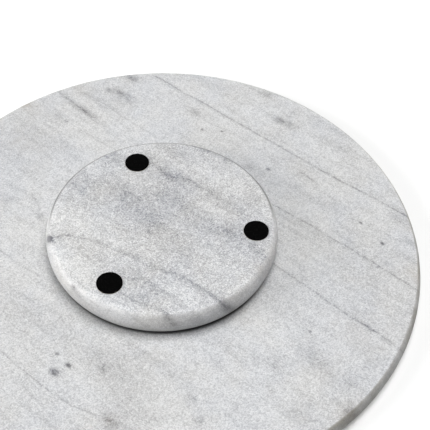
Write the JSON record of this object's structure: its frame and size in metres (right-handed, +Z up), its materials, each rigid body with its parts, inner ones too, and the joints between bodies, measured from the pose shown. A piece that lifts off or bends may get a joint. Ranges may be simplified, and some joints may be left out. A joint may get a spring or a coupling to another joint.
{
  "type": "lazy susan turntable",
  "caption": "Round marble serving plate that turns freely on a ball bearing sunk into a smaller round marble base with soft foam pads underneath.",
  "frame": {"origin": "centre of the base on the surface it stands on, in the plane of the pads' undersides", "axes": "+Z up along the turning axis, towards the serving face; X and Y are in the plane of the plate, with no front"},
  "size_m": [0.3048, 0.3048, 0.031],
  "materials": {
    "marble": "honed",
    "pad_foam": "matte closed-cell foam",
    "pad_film": "satin",
    "bond": "cured epoxy",
    "ring_aluminium": "turned",
    "ball_steel": "polished",
    "cage_nylon": "moulded",
    "screw_steel": "zinc plated",
    "plug_plastic": "moulded"
  },
  "bodies": {
    "base": {"marble_base": "marble", "foam_pad_1": "pad_foam", "foam_pad_2": "pad_foam", "foam_pad_3": "pad_foam", "pad_adhesive_film_1": "pad_film", "pad_adhesive_film_2": "pad_film", "pad_adhesive_film_3": "pad_film", "adhesive_bead": "bond", "bearing_outer_ring": "ring_aluminium"},
    "plate": {"marble_plate": "marble", "bearing_inner_ring": "ring_aluminium", "ring_screw_1": "screw_steel", "ring_screw_2": "screw_steel", "ring_screw_3": "screw_steel", "ring_screw_4": "screw_steel", "screw_plug_1": "plug_plastic", "screw_plug_2": "plug_plastic", "screw_plug_3": "plug_plastic", "screw_plug_4": "plug_plastic"},
    "cage": {"ball_cage": "cage_nylon", "bearing_ball_1": "ball_steel", "bearing_ball_2": "ball_steel", "bearing_ball_3": "ball_steel", "bearing_ball_4": "ball_steel", "bearing_ball_5": "ball_steel", "bearing_ball_6": "ball_steel", "bearing_ball_7": "ball_steel", "bearing_ball_8": "ball_steel", "bearing_ball_9": "ball_steel", "bearing_ball_10": "ball_steel", "bearing_ball_11": "ball_steel", "bearing_ball_12": "ball_steel", "bearing_ball_13": "ball_steel", "bearing_ball_14": "ball_steel", "bearing_ball_15": "ball_steel", "bearing_ball_16": "ball_steel", "bearing_ball_17": "ball_steel", "bearing_ball_18": "ball_steel"}
  },
  "joints": [
    {"name": "plate_spin", "type": "hinge", "parent": "base", "child": "plate", "pos_m": [0, 0, 0.01405], "axis": [0, 0, 1], "continuous": true},
    {"name": "cage_spin", "type": "hinge", "parent": "base", "child": "cage", "pos_m": [0, 0, 0.01405], "axis": [0, 0, 1], "continuous": true}
  ],
  "couplings": [
    {"joint": "cage_spin", "follows": "plate_spin", "ratio": 0.4634}
  ]
}
